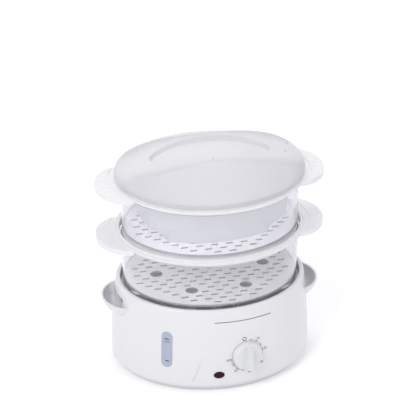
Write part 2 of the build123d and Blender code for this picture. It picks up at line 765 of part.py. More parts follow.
def make_indicator_lens():
    """Domed lens in the wall, with a collar that holds the lamp."""
    plane = wall_plane(LAMP_PLACE)
    behind = FITTING_BACK
    lens = lamp_shape(-PIN_FIT, behind, LAMP_PROUD)
    dome = Pos(0, 0, LAMP_PROUD) * loft(
        [
            Ellipse(LAMP_SIZE[0] / 2 - PIN_FIT, LAMP_SIZE[1] / 2 - PIN_FIT),
            Pos(0, 0, LAMP_DOME * 0.7) * Ellipse(LAMP_SIZE[0] * 0.4, LAMP_SIZE[1] * 0.4),
            Pos(0, 0, LAMP_DOME) * Ellipse(LAMP_SIZE[0] * 0.2, LAMP_SIZE[1] * 0.2),
        ]
    )
    lens += plane * dome
    collar_end = behind - COLLAR_LENGTH
    lens += disc(plane, NEON_RADIUS + COLLAR_WALL, collar_end, behind)
    return lens - disc(plane, NEON_RADIUS + PIN_FIT, collar_end - 1, behind)


def make_neon_lamp():
    """Glass neon lamp in the lens's collar."""
    return disc(wall_plane(LAMP_PLACE), NEON_RADIUS, FITTING_BACK - NEON_LENGTH, FITTING_BACK)


def window_shape(grow, low, high):
    """Upright stadium at the level window."""
    wide, tall = WINDOW_SIZE[0] + 2 * grow, WINDOW_SIZE[1] + 2 * grow
    stadium = extrude(SlotOverall(tall, wide, rotation=90), high - low)
    return wall_plane(WINDOW_PLACE) * (Pos(0, 0, low) * stadium)


def window_front():
    """Filled oval that stands a little proud of the wall, to which the window is curved."""
    reach = WINDOW_SIZE[1] / 2 + 2.0
    low, high = WINDOW_PLACE[1] - reach, WINDOW_PLACE[1] + reach
    bends = [height for _, height in wall_corners() if low < height < high]
    wall = [(wall_radius(height) + WINDOW_PROUD, height) for height in (low, *bends, high)]
    return oval((0, low), *wall, (0, high))


def make_level_window():
    """Clear window with the upright water chamber behind it and its hose nipple."""
    plane = wall_plane(WINDOW_PLACE)
    back = -HOUSING_WALL - WINDOW_DEPTH
    lens = window_shape(-0.1, back, 3 * WINDOW_PROUD) & window_front()
    depth = CHAMBER_DEPTH
    drop = -CHAMBER_DROP
    chamber = slab(plane, (depth, CHAMBER_HEIGHT), back - depth, back, 0, drop)
    inner = (depth - 2 * CHAMBER_WALL, CHAMBER_HEIGHT - 2 * CHAMBER_WALL)
    chamber -= slab(plane, inner, back - depth + CHAMBER_WALL, back, 0, drop)
    window = lens + chamber
    start = -back + depth
    end = start + NIPPLE_LENGTH
    window += hose_tube(NIPPLE_RADIUS, start - CHAMBER_WALL, end)
    return window - hose_tube(NIPPLE_RADIUS - NIPPLE_WALL, start - CHAMBER_WALL - 1, end + 1)


def make_gauge_hose():
    """Short straight hose pushed over both nipples."""
    near = HOUSING_WALL + WINDOW_DEPTH + CHAMBER_DEPTH + 0.5
    far = tank_nipple_depth() - 0.8
    inner = NIPPLE_RADIUS + PIN_FIT
    return hose_tube(inner + HOSE_WALL, near, far) - hose_tube(inner, near - 1, far + 1)


def gland_plane():
    """Plane on the rear wall at the gland's axis."""
    return wall_plane((0.0, GLAND_HEIGHT), rear=True)


def make_cord_gland():
    """Strain relief in the rear wall: inner nut, neck, outer flange and tapered tail."""
    plane = gland_plane()
    wall_back = -HOUSING_WALL
    gland = disc(plane, GLAND_NECK_RADIUS, wall_back - 6, 0.4)
    gland += disc(plane, GLAND_FLANGE_RADIUS, wall_back - 4.5, wall_back - 0.6)
    gland += disc(plane, GLAND_FLANGE_RADIUS, 0.3, 2.3)
    tail = Pos(0, 0, 2.3) * loft(
        [Circle(GLAND_NECK_RADIUS), Pos(0, 0, GLAND_TAIL) * Circle(GLAND_BORE_RADIUS + 1.2)]
    )
    gland += plane * tail
    return gland - disc(plane, GLAND_BORE_RADIUS, wall_back - 8, GLAND_TAIL + 4)


def make_terminal_block():
    """Three-way terminal block on the bottom cover."""
    low = FOOT_HEIGHT + COVER_PLATE
    length, width, height = TERMINAL_SIZE
    top = low + height
    base = Pos(0, TERMINAL_PLACE, (low + top) / 2) * Box(length, width, height)
    for i in (-1, 0, 1):
        x = i * TERMINAL_PITCH
        base -= cylinder(TERMINAL_SCREW_RADIUS, top - 4, top + 1, x, TERMINAL_PLACE)
        bore = Rot(-90, 0, 0) * extrude(Circle(TERMINAL_BORE_RADIUS), 2 * width)
        base -= Pos(x, TERMINAL_PLACE - width, low + 5) * bore
    return base


# -------------------------------------------------- steam sleeve, drip tray
def make_sleeve():
    """Tube that stands on the tank floor round the heater, notched at its foot."""
    low = TANK_FLOOR_TOP + SEAT_GAP
    high = TRAY_FLOOR + SLEEVE_OVERLAP
    tube = cylinder(SLEEVE_RADIUS, low, high) - cylinder(SLEEVE_RADIUS - SLEEVE_WALL, low - 1, high + 1)
    width, height = SLEEVE_NOTCH
    reach = SLEEVE_RADIUS + 2
    notch = block((-reach, reach), (-width / 2, width / 2), (low - 1, low + height))
    for angle in (45, 135):
        tube -= Rot(0, 0, angle) * notch
    return tube


def make_tray():
    """Oval drip tray with a round chimney of six steam windows in its middle."""
    lip_low = TRAY_TOP - TRAY_LIP
    wall_top = TANK_LEDGE_RADIUS - 0.8
    tray = oval(
        (0, TRAY_FLOOR),
        (TRAY_FLOOR_RADIUS, TRAY_FLOOR, 4.0),
        (wall_top, lip_low),
        (NEST_RADIUS - RIM_FIT, lip_low),
        (NEST_RADIUS - RIM_FIT, TRAY_TOP, 0.8),
        (wall_top - 1.2, TRAY_TOP, 0.8),
        (TRAY_FLOOR_RADIUS - 0.9, TRAY_FLOOR + TRAY_WALL, 3.0),
        (0, TRAY_FLOOR + TRAY_WALL),
    )
    inner = CHIMNEY_RADIUS - TRAY_WALL
    cap_low = CHIMNEY_TOP - CHIMNEY_CAP
    tray += turned(
        (0, TRAY_FLOOR),
        (CHIMNEY_RADIUS, TRAY_FLOOR),
        (CHIMNEY_RADIUS, cap_low),
        (CHIMNEY_RADIUS + 0.8, cap_low),
        (CHIMNEY_RADIUS + 0.8, CHIMNEY_TOP, 1.0),
        (0, CHIMNEY_TOP),
    )
    tray -= cylinder(inner, TRAY_FLOOR - 1, cap_low)
    step = 360 / STEAM_WINDOW_COUNT
    width, height = STEAM_WINDOW
    half = RIB_WIDTH / 2
    window = block((inner - 3, CHIMNEY_RADIUS + 3), (-width / 2, width / 2), (cap_low - height, cap_low))
    rib_span = (CHIMNEY_RADIUS - 1, CHIMNEY_RADIUS + RIB_PROUD)
    rib = block(rib_span, (-half, half), (TRAY_FLOOR + 1, cap_low + 1))
    for i in range(STEAM_WINDOW_COUNT):
        tray -= Rot(0, 0, step * i) * window
        tray += Rot(0, 0, step * (i + 0.5)) * rib
    return tray


# ----------------------------------------------------------- steaming baskets
def handle_face(inset):
    """Plan of a handle: a wide root that narrows to a rounded tip."""
    reach = HANDLE_REACH - inset
    half = HANDLE_HALF_WIDTH - inset
    root = NEST_RADIUS - 8.0
    span = reach - root
    tip = (reach, 0)
    side = [(root + along * span, across * half) for along, across in HANDLE_CURVE]
    path = [(x, -y) for x, y in side] + [tip] + side[::-1]
    return make_face([*Spline(*path).edges(), *Line(side[0], (root, -half)).edges()])


def make_basket_handle():
    """Hollow grip plate with a turned-down skirt, a trough at its root and three grip lines."""
    top = BASKET_HEIGHT - HANDLE_DROP
    plate = Pos(0, 0, top - HANDLE_SKIRT) * extrude(handle_face(0), HANDLE_SKIRT)
    hollow_high = HANDLE_SKIRT - HANDLE_PLATE
    plate -= Pos(0, 0, top - HANDLE_SKIRT - 1) * extrude(handle_face(HANDLE_PLATE), hollow_high + 1)
    trough_start = BASKET_FLANGE_RADIUS + 0.8
    plate -= oval(
        (trough_start, top - TROUGH_DEPTH),
        (trough_start + TROUGH_WIDTH, top - TROUGH_DEPTH),
        (trough_start + TROUGH_WIDTH, top + 1),
        (trough_start, top + 1),
    )
    length, width, height = GRIP_LINE_SIZE
    end = HANDLE_REACH - 5.0
    for i in (-1, 0, 1):
        y = i * GRIP_LINE_PITCH
        plate += block((end - length, end), (y - width / 2, y + width / 2), (top - 0.5, top + height))
    return plate


def make_basket(foot):
    """Clear oval shell: foot ring, grid ledge, flaring wall, nesting rim, flange and two handles."""
    ledge = BASKET_HEIGHT - BASKET_NEST_DEPTH
    wall_top = BASKET_FOOT_RADIUS + BASKET_WALL_FLARE
    wall = BASKET_WALL
    shell = NEST_RADIUS + BASKET_SHELL
    flange_top = BASKET_HEIGHT - BASKET_FLANGE_DROP
    basket = turned(
        (BASKET_FOOT_INNER, 0),
        (BASKET_FOOT_RADIUS, 0, 0.8),
        (wall_top, ledge - 4.0, 2.0),
        (shell, ledge, 2.0),
        (shell, flange_top - BASKET_FLANGE, 0.8),
        (BASKET_FLANGE_RADIUS, flange_top - BASKET_FLANGE, 0.8),
        (BASKET_FLANGE_RADIUS, flange_top, 0.7),
        (shell + 2.0, flange_top),
        (shell + 1.2, flange_top - 0.8),
        (shell, flange_top),
        (shell, BASKET_HEIGHT, 1.1),
        (NEST_RADIUS, BASKET_HEIGHT, 1.1),
        (NEST_RADIUS, ledge),
        (BASKET_LEDGE_RADIUS, ledge, 0.6),
        (wall_top - wall, ledge - 3.0),
        (BASKET_FOOT_RADIUS - wall + 0.3, GRID_SEAT),
        (GRID_LEDGE_RADIUS, GRID_SEAT, 0.6),
        (GRID_LEDGE_RADIUS, GRID_SEAT - 2.0),
        (BASKET_FOOT_INNER, GRID_SEAT - 5.0),
    )
    basket = pressed(basket)
    core = oval((0, -1), (shell - 0.8, -1), (shell - 0.8, BASKET_HEIGHT + 1), (0, BASKET_HEIGHT + 1))
    for handle in both_ends(make_basket_handle() - core):
        basket += handle
    return Pos(0, 0, foot) * basket


def inside_grid(x, y, margin):
    """Whether a place on the grid keeps a margin from its edge."""
    reach = BASKET_FOOT_RADIUS - BASKET_WALL - margin
    return math.hypot(x, y / OVAL) < reach


def make_grid_plate():
    """Oval plate with staggered slots and a ring of egg holes."""
    radius = BASKET_FOOT_RADIUS - BASKET_WALL + 0.3 - RIM_FIT
    turns = [math.tau * i / EGG_HOLE_COUNT for i in range(EGG_HOLE_COUNT)]
    eggs = [(EGG_RING_RADIUS * math.cos(turn), EGG_RING_RADIUS * OVAL * math.sin(turn)) for turn in turns]
    clear_x, clear_y = EGG_HOLE_RADIUS + EGG_BORDER[0], EGG_HOLE_RADIUS + EGG_BORDER[1]
    rows = int(radius * OVAL / SLOT_PITCH[1])
    columns = int(radius / SLOT_PITCH[0]) + 1
    slots = []
    for row in range(-rows, rows + 1):
        shift = 0.5 * (row % 2)
        for column in range(-columns, columns + 1):
            x, y = (column + shift) * SLOT_PITCH[0], row * SLOT_PITCH[1]
            clear = all(abs(x - egg_x) > clear_x or abs(y - egg_y) > clear_y for egg_x, egg_y in eggs)
            if clear and inside_grid(x + math.copysign(SLOT_SIZE[0] / 2, x), y, GRID_BORDER):
                slots.append(Pos(x, y) * Rectangle(*SLOT_SIZE))
    holes = [Pos(x, y) * Circle(EGG_HOLE_RADIUS) for x, y in eggs]
    return extrude(Ellipse(radius, radius * OVAL) - (slots + holes), GRID_THICKNESS)


# ------------------------------------------------------------------ rice bowl
def bowl_face(inset, half_length=BOWL_HALF_LENGTH):
    """Plan of the bowl: bowed long sides and ends, with rounded corners."""
    narrowing = BOWL_HALF_LENGTH - half_length
    cx, cy = BOWL_CORNER[0] - narrowing - inset, BOWL_CORNER[1] - inset
    end, side = half_length - inset, BOWL_HALF_WIDTH - inset
    arcs = [
        ThreePointArc((cx, -cy), (end, 0), (cx, cy)),
        ThreePointArc((cx, cy), (0, side), (-cx, cy)),
        ThreePointArc((-cx, cy), (-end, 0), (-cx, -cy)),
        ThreePointArc((-cx, -cy), (0, -side), (cx, -cy)),
    ]
    face = make_face([edge for arc in arcs for edge in arc.edges()])
    return fillet(face.vertices(), BOWL_CORNER_ROUND - inset / 2)


def bowl_solid(inset, floor):
    """Filled bowl: straight upper walls, slanting end shoulders and a deep middle."""
    shoulder_top = BOWL_HEIGHT - BOWL_UPPER_DEPTH
    shoulder_low = shoulder_top - BOWL_SHOULDER
    length = BOWL_HALF_LENGTH
    upper = loft(
        [
            Pos(0, 0, shoulder_top) * bowl_face(inset + BOWL_DRAFT),
            Pos(0, 0, BOWL_HEIGHT) * bowl_face(inset),
        ],
        ruled=True,
    )
    shoulder = loft(
        [
            Pos(0, 0, shoulder_low) * bowl_face(inset + BOWL_DRAFT + 1, length - BOWL_SHOULDER_INSET),
            Pos(0, 0, shoulder_top) * bowl_face(inset + BOWL_DRAFT),
        ],
        ruled=True,
    )
    well = loft(
        [
            Pos(0, 0, floor) * bowl_face(inset + BOWL_DRAFT + 3, length - BOWL_BOTTOM_INSET),
            Pos(0, 0, shoulder_low) * bowl_face(inset + BOWL_DRAFT + 1, length - BOWL_SHOULDER_INSET),
        ],
        ruled=True,
    )
    return upper + shoulder + well


def make_bowl():
    """Open rice bowl with a rim flange and a loop handle at each end."""
    inner = bowl_solid(BOWL_WALL, BOWL_WALL)
    lip_low = BOWL_HEIGHT - BOWL_RIM
    rim = Pos(0, 0, lip_low) * extrude(bowl_face(-BOWL_RIM), BOWL_RIM)
    loop_low = BOWL_HEIGHT - BOWL_LOOP_THICKNESS
    root = BOWL_HALF_LENGTH - BOWL_WALL - BOWL_LOOP_BAR
    loop = RectangleRounded(BOWL_LOOP_REACH - root, 2 * BOWL_LOOP_HALF_WIDTH, BOWL_LOOP_ROUND)
    loop = Pos((root + BOWL_LOOP_REACH) / 2, 0, loop_low) * extrude(loop, BOWL_LOOP_THICKNESS)
    slot_middle = BOWL_LOOP_REACH - BOWL_LOOP_BAR - BOWL_LOOP_SLOT[0] / 2
    slot = extrude(RectangleRounded(*BOWL_LOOP_SLOT, BOWL_SLOT_ROUND), BOWL_LOOP_THICKNESS + 2)
    slot = Pos(slot_middle, 0, loop_low - 1) * slot
    bowl = bowl_solid(0, 0) + rim
    for end_loop, end_slot in zip(both_ends(loop), both_ends(slot)):
        bowl += end_loop
        bowl -= end_slot
    return Pos(0, 0, BOWL_FOOT) * (bowl - inner)


# ------------------------------------------------------------------------ lid
def vault(inset, drop=0.0):
    """Filled space under the crown, an arch along the length that runs on straight past its ends."""
    half, end = LID_RADIUS - LID_END_INSET, LID_END_HEIGHT - inset - drop
    crown = LID_HEIGHT - inset - drop
    rise = crown - end
    radius = (half**2 + rise**2) / (2 * rise)
    run = LID_RADIUS + 10.0 - half
    fall = run * half / math.sqrt(radius**2 - half**2)
    arch = ThreePointArc((-half, end), (0, crown), (half, end))
    below = -2 * LID_HEIGHT
    right = [(half, end), (half + run, end - fall), (half + run, below)]
    left = [(-x, z) for x, z in reversed(right)]
    sides = Polyline(*right, *left)
    return extrude(Plane.XZ * make_face([*arch.edges(), *sides.edges()]), LID_RADIUS, both=True)


def lid_form(inset):
    """Filled lid: an upright skirt, flanks that draw in to the brow, and the arched crown."""
    length = LID_RADIUS - inset
    base = Ellipse(length, LID_RADIUS * OVAL - inset)
    end, width, height = LID_FLANK
    flank = Pos(0, 0, height - inset / 2) * Ellipse(length - end, width - inset)
    end, width, height = LID_BROW
    brow = Pos(0, 0, height) * Ellipse(length - end, width - inset)
    side = loft([Pos(0, 0, LID_SKIRT) * base, flank, brow])
    form = (extrude(base, LID_SKIRT) + side) & vault(inset)
    crease = [edge for edge in form.edges() if edge.bounding_box().max.Z > LID_HEIGHT - 4]
    return fillet(crease, LID_CREASE_ROUND - inset / 2)


def dish(inset):
    """Filled finger dish in the crown: sloping oval sides and an arched floor."""
    length, width = LID_DISH[0] + inset, LID_DISH[1] + inset
    top = LID_HEIGHT + 4.0
    low = LID_END_HEIGHT - LID_DISH_DEPTH - inset
    slope = LID_DISH_SLOPE
    floor = Pos(0, 0, low) * Ellipse(length - slope, width - slope)
    sides = loft([floor, Pos(0, 0, top) * Ellipse(length, width)])
    return sides - vault(inset, LID_DISH_DEPTH)


def make_lid():
    """Domed lid: a flat seat on the basket rim, a locating rib below it and a dish on top."""
    wall = LID_WALL
    seat = oval((0, -1), (LID_RADIUS, -1), (LID_RADIUS, wall), (0, wall))
    shell = (lid_form(0) - dish(0)) - (lid_form(wall) - dish(wall) - seat)
    shell -= oval((0, -1), (LID_RIB_RADIUS, -1), (LID_RIB_RADIUS, wall + 0.5), (0, wall + 0.5))
    inner, outer, low, high = LID_RIB_RADIUS, NEST_RADIUS - RIM_FIT, -LID_RIB_DEPTH, wall / 2
    shell += oval((inner, low), (outer, low), (outer, high), (inner, high))
    floor = LID_HEIGHT - LID_DISH_DEPTH
    web_end = LID_DISH[1] - LID_DISH_SLOPE / 2
    shell += block((-LID_WEB / 2, LID_WEB / 2), (-web_end, -web_end + 10.0), (floor - 1, floor + 4.0))
    for x, y in STEAM_HOLE_PLACES:
        shell -= cylinder(STEAM_HOLE_RADIUS, 5, LID_HEIGHT + 5, x, y)
    return Pos(0, 0, LID_FOOT) * shell


# ------------------------------------------------------------------ assembly
def build():
    """All pieces by name."""
    grid = make_grid_plate()
    seat = GRID_SEAT + SEAT_GAP
    return {
        "base_housing": make_housing(),
        "bottom_cover": make_bottom_cover(),
        "feet": make_feet(),
        "bottom_screws": make_bottom_screws(),
        "water_tank": make_tank(),
        "heating_element": make_heating_element(),
        "heater_seal": make_heater_seal(),
        "heater_clamp": make_heater_clamp(),
        "heater_screws": make_heater_screws(),
        "boil_dry_thermostat": make_thermostat(),
        "thermal_fuse": make_fuse(),
        "timer_body": make_timer_body(),
        "timer_bell": make_timer_bell(),
        "timer_screws": make_timer_screws(),
        "timer_knob": make_knob(),
        "timer_shaft": make_timer_shaft(),
        "indicator_lens": make_indicator_lens(),
        "neon_lamp": make_neon_lamp(),
        "level_window": make_level_window(),
        "gauge_hose": make_gauge_hose(),
        "cord_gland": make_cord_gland(),
        "terminal_block": make_terminal_block(),
        "steam_sleeve": make_sleeve(),
        "drip_tray": make_tray(),
        "lower_basket": make_basket(LOWER_FOOT),
        "lower_basket_grid": Pos(0, 0, LOWER_FOOT + seat) * grid,
        "upper_basket": make_basket(UPPER_FOOT),
        "upper_basket_grid": Pos(0, 0, UPPER_FOOT + seat) * grid,
        "rice_bowl": make_bowl(),
        "lid": make_lid(),
    }


os.makedirs("parts", exist_ok=True)
for name, piece in build().items():
    if isinstance(piece, list):
        piece = Compound(children=[solid for item in piece for solid in item.solids()])
    export_step(plain(piece), f"parts/{name}.step")
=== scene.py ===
import json
import math

import bpy
import numpy as np
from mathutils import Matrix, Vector


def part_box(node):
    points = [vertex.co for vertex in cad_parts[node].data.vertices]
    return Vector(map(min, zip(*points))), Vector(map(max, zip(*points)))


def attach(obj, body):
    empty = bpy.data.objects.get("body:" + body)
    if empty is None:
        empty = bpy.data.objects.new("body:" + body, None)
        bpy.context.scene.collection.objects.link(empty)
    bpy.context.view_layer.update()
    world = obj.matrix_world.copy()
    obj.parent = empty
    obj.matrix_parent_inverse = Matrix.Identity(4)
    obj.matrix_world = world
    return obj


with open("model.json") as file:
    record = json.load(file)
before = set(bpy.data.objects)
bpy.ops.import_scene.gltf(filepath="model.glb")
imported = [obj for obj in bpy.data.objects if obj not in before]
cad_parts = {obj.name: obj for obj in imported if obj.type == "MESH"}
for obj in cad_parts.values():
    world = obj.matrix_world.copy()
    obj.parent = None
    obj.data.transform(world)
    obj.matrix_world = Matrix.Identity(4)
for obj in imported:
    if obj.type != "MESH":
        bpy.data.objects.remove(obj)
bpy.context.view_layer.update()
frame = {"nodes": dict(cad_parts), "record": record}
NODES = frame["nodes"]

# ------------------------------------------------------------------ the camera
AZIMUTH = math.radians(-13.0)
ELEVATION = math.radians(28.5)
CAMERA_DISTANCE = 3.0
VIEW_ANGLE = math.radians(10.06)
AIM_HEIGHT = 0.2088
AIM_SHIFT = -0.0023
NEAREST = 0.05
FARTHEST = 50


def make_camera():
    """Long lens, from the left of the front and a good way above."""
    level = math.cos(ELEVATION)
    back = Vector((math.sin(AZIMUTH) * level, -math.cos(AZIMUTH) * level, math.sin(ELEVATION)))
    right = Vector((math.cos(AZIMUTH), math.sin(AZIMUTH), 0))
    camera = bpy.data.objects.new("camera", bpy.data.cameras.new("camera"))
    bpy.context.scene.collection.objects.link(camera)
    camera.location = Vector((0, 0, AIM_HEIGHT)) + right * AIM_SHIFT + back * CAMERA_DISTANCE
    camera.rotation_mode = "QUATERNION"
    camera.rotation_quaternion = (-back).to_track_quat("-Z", "Y")
    camera.data.angle = VIEW_ANGLE
    camera.data.clip_start = NEAREST
    camera.data.clip_end = FARTHEST
    bpy.context.scene.camera = camera


make_camera()


# --------------------------------------------------------------- shader helpers
def new_material(name, **sockets):
    """Principled material with constants on the shader's own sockets."""
    material = bpy.data.materials.new(name)
    material.use_nodes = True
    shader = material.node_tree.nodes["Principled BSDF"]
    for socket, value in sockets.items():
        shader.inputs[socket.replace("_", " ")].default_value = value
    return material, material.node_tree, shader


def math_node(tree, operation, first, second=None):
    """Math node whose inputs are sockets or numbers."""
    node = tree.nodes.new("ShaderNodeMath")
    node.operation = operation
    for socket, value in zip(node.inputs, (first, second)):
        if value is None:
            continue
        if isinstance(value, (int, float)):
            socket.default_value = value
        else:
            tree.links.new(value, socket)
    return node.outputs[0]


def mix_colours(tree, factor, start, end):
    """Colour that goes from start to end with the factor."""
    mix = tree.nodes.new("ShaderNodeMix")
    mix.data_type = "RGBA"
    mix.inputs["A"].default_value = (*start, 1)
    mix.inputs["B"].default_value = (*end, 1)
    tree.links.new(factor, mix.inputs["Factor"])
    return mix.outputs["Result"]


def ramp(tree, value, low, high, start=0.0, end=1.0):
    """Smooth step of a socket from start, at low, to end, at high."""
    span = tree.nodes.new("ShaderNodeMapRange")
    span.interpolation_type = "SMOOTHSTEP"
    for name, number in (("From Min", low), ("From Max", high), ("To Min", start), ("To Max", end)):
        span.inputs[name].default_value = number
    tree.links.new(value, span.inputs["Value"])
    return span.outputs["Result"]


def object_noise(tree, lumps, detail=2.0):
    """Noise on Object coordinates, with so many lumps in a metre."""
    place = tree.nodes.new("ShaderNodeTexCoord")
    noise = tree.nodes.new("ShaderNodeTexNoise")
    noise.inputs["Scale"].default_value = lumps
    noise.inputs["Detail"].default_value = detail
    tree.links.new(place.outputs["Object"], noise.inputs["Vector"])
    return noise.outputs["Fac"]


def object_place(tree):
    """The sockets x, y and z of the Object coordinates."""
    place = tree.nodes.new("ShaderNodeTexCoord")
    split = tree.nodes.new("ShaderNodeSeparateXYZ")
    tree.links.new(place.outputs["Object"], split.inputs[0])
    return split.outputs


def oval_reach(tree, half_length, half_width):
    """One on the oval of these half sizes, less inside it and more outside:
    the square root of (x / half length) squared plus (y / half width) squared."""
    x, y, _ = object_place(tree)
    x = math_node(tree, "DIVIDE", x, half_length)
    y = math_node(tree, "DIVIDE", y, half_width)
    squares = math_node(tree, "MULTIPLY", x, x), math_node(tree, "MULTIPLY", y, y)
    return math_node(tree, "SQRT", math_node(tree, "ADD", *squares))


def height_band(tree, rise, fall):
    """One between two heights: it comes in over the pair of heights rise and goes out over fall."""
    z = object_place(tree)[2]
    return math_node(tree, "MULTIPLY", ramp(tree, z, *rise), ramp(tree, z, *fall, 1.0, 0.0))


def seen_ray(tree):
    """One for rays from the camera, in reflections and through clear plastic, otherwise zero."""
    path = tree.nodes.new("ShaderNodeLightPath")
    total = path.outputs["Is Camera Ray"]
    for name in ("Is Glossy Ray", "Is Transmission Ray"):
        total = math_node(tree, "MAXIMUM", total, path.outputs[name])
    return total


# --------------------------------------------------------------- light and room
bpy.context.scene.view_settings.view_transform = "Standard"
WHITE = (1.0, 1.0, 1.0)
WORLD_LIGHT = (0.68, 0.68, 0.69)
FLOOR_WHITE = (0.90, 0.90, 0.91, 1.0)
FLOOR_LIFT = 0.22
FLOOR_HALF = 6.0
FLOOR_ROUGHNESS = 0.9
FLOOR_SHINE = 0.1
LAMP_AIM = Vector((0, 0, 0.15))
# name, place, side of the square and power of each lamp
LAMPS = (
    ("key_light", (-1.3, -1.3, 1.6), 0.9, 16),
    ("fill_light", (1.6, -1.4, 0.9), 0.9, 5),
    ("top_light", (0.1, 0.5, 2.2), 1.2, 8),
)


def make_world():
    """White to the eye and through clear plastic, a little dimmer as a light."""
    world = bpy.data.worlds.new("studio")
    bpy.context.scene.world = world
    world.use_nodes = True
    tree = world.node_tree
    tree.nodes.clear()
    background = tree.nodes.new("ShaderNodeBackground")
    tree.links.new(mix_colours(tree, seen_ray(tree), WORLD_LIGHT, WHITE), background.inputs["Color"])
    output = tree.nodes.new("ShaderNodeOutputWorld")
    tree.links.new(background.outputs[0], output.inputs["Surface"])


def make_lamp(name, place, side, power):
    """Square soft box aimed at the object."""
    data = bpy.data.lights.new(name, "AREA")
    data.shape = "SQUARE"
    data.size = side
    data.energy = power
    lamp = bpy.data.objects.new(name, data)
    bpy.context.scene.collection.objects.link(lamp)
    lamp.location = place
    lamp.rotation_mode = "QUATERNION"
    lamp.rotation_quaternion = (LAMP_AIM - Vector(place)).to_track_quat("-Z", "Y")


def make_floor():
    """Plain white floor that shows as white where no shadow falls on it."""
    corners = [(x * FLOOR_HALF, y * FLOOR_HALF, 0) for x, y in ((-1, -1), (1, -1), (1, 1), (-1, 1))]
    mesh = bpy.data.meshes.new("floor")
    mesh.from_pydata(corners, [], [(0, 1, 2, 3)])
    floor = bpy.data.objects.new("floor", mesh)
    bpy.context.scene.collection.objects.link(floor)
    material, tree, shader = new_material(
        "floor", Base_Color=FLOOR_WHITE, Roughness=FLOOR_ROUGHNESS, Specular_IOR_Level=FLOOR_SHINE
    )
    glow = tree.nodes.new("ShaderNodeEmission")
    glow.inputs["Color"].default_value = (*WHITE, 1)
    lift = math_node(tree, "MULTIPLY", seen_ray(tree), FLOOR_LIFT)
    tree.links.new(lift, glow.inputs["Strength"])
    both = tree.nodes.new("ShaderNodeAddShader")
    tree.links.new(shader.outputs[0], both.inputs[0])
    tree.links.new(glow.outputs[0], both.inputs[1])
    tree.links.new(both.outputs[0], tree.nodes["Material Output"].inputs["Surface"])
    mesh.materials.append(material)


make_world()
for lamp_row in LAMPS:
    make_lamp(*lamp_row)
make_floor()

# -------------------------------------------------------------------- finishes
MOULDED_SHINE = 0.45
LENS_SHINE = 0.15
DRIFT_LUMPS = 14
POLISH_LUMPS = 55
GRAIN_LUMPS = 900
GRAIN_HEIGHT = 0.00004
GRAIN_DETAIL = 3.0
BUMP_STRENGTH = 0.3

METAL_DRIFT_LUMPS = 60
METAL_POLISH_LUMPS = 300
METAL_GRAIN_LUMPS = 1500
METAL_GRAIN_HEIGHT = 0.00005

CLEAR_BENDING = 1.3
CLEAR_TINT = (0.9, 0.9, 0.92)
CLEAR_DRIFT_LUMPS = 10
HAZE_LUMPS = 40

BASKET_BENDING = 1.45
BASKET_TINT = (0.93, 0.93, 0.95)
BASKET_WALL = (0.89, 0.885, 0.915)
BASKET_RIM = (0.87, 0.87, 0.885)
BASKET_CLEARNESS = (0.95, 0.06)
BASKET_ROUGHNESS = (0.02, 0.22)
BASKET_HAZE = 0.03
RIM_TOPS = tuple(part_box(name)[1][2] for name in ("lower_basket", "upper_basket"))
RIM_DEPTH = 0.0042
RIM_FADE = 0.001
RIM_RADIUS = 0.1165
RIM_EDGE = 0.0008
OVAL = 0.84

LID_CLEARNESS = 0.35
LID_CROWN = (0.84, 0.84, 0.86)
# painted shade: colour of the lid's flanks, darker than the crown
LID_FLANK_PAINTED_SHADE = (0.735, 0.735, 0.765)
LID_ROUGHNESS = (0.16, 0.24)
BROW_END_INSET = 0.011
BROW_HALF_WIDTH = 0.032
BROW_FADE = (0.92, 1.5)

GRID_TOP = (0.96, 0.96, 0.962)
# painted shade: grey of the slot and hole walls below the grids' top faces
GRID_SLOT_PAINTED_SHADE = (0.44, 0.44, 0.48)
GRID_ROUGHNESS = (0.3, 0.4)
SLOT_SHADE_DEPTH = 0.0007
SLOT_FACE_MARGIN = 0.0001
SLOT_LOW_FADE = 0.0003


def set_colour(tree, shader, colour):
    """Links a colour to the shader."""
    tree.links.new(colour, shader.inputs["Base Color"])


def drift_colour(tree, shader, dark, light, lumps):
    """Lets the colour drift between two near values."""
    set_colour(tree, shader, mix_colours(tree, object_noise(tree, lumps), dark, light))


def uneven_polish(tree, shader, low, high, lumps):
    """Roughness that drifts between two values."""
    span = tree.nodes.new("ShaderNodeMapRange")
    span.inputs["To Min"].default_value = low
    span.inputs["To Max"].default_value = high
    tree.links.new(object_noise(tree, lumps), span.inputs["Value"])
    tree.links.new(span.outputs["Result"], shader.inputs["Roughness"])


def add_grain(tree, shader, lumps, height):
    """Fine grain of the mould or the metal."""
    bump = tree.nodes.new("ShaderNodeBump")
    bump.inputs["Strength"].default_value = BUMP_STRENGTH
    bump.inputs["Distance"].default_value = height
    tree.links.new(object_noise(tree, lumps, GRAIN_DETAIL), bump.inputs["Height"])
    tree.links.new(bump.outputs["Normal"], shader.inputs["Normal"])


def let_lamps_through(tree, shader, tint):
    """Swaps the clear shader for a tinted see-through one on rays from lamps."""
    path = tree.nodes.new("ShaderNodeLightPath")
    through = tree.nodes.new("ShaderNodeBsdfTransparent")
    through.inputs["Color"].default_value = (*tint, 1)
    swap = tree.nodes.new("ShaderNodeMixShader")
    tree.links.new(path.outputs["Is Shadow Ray"], swap.inputs["Fac"])
    tree.links.new(shader.outputs[0], swap.inputs[1])
    tree.links.new(through.outputs[0], swap.inputs[2])
    tree.links.new(swap.outputs[0], tree.nodes["Material Output"].inputs["Surface"])


def moulded(name, dark, light, low, high, grain=GRAIN_HEIGHT, shine=MOULDED_SHINE):
    """Opaque moulded plastic: drifting colour, uneven polish and fine grain."""
    material, tree, shader = new_material(name, Specular_IOR_Level=shine)
    drift_colour(tree, shader, dark, light, DRIFT_LUMPS)
    uneven_polish(tree, shader, low, high, POLISH_LUMPS)
    add_grain(tree, shader, GRAIN_LUMPS, grain)
    return material


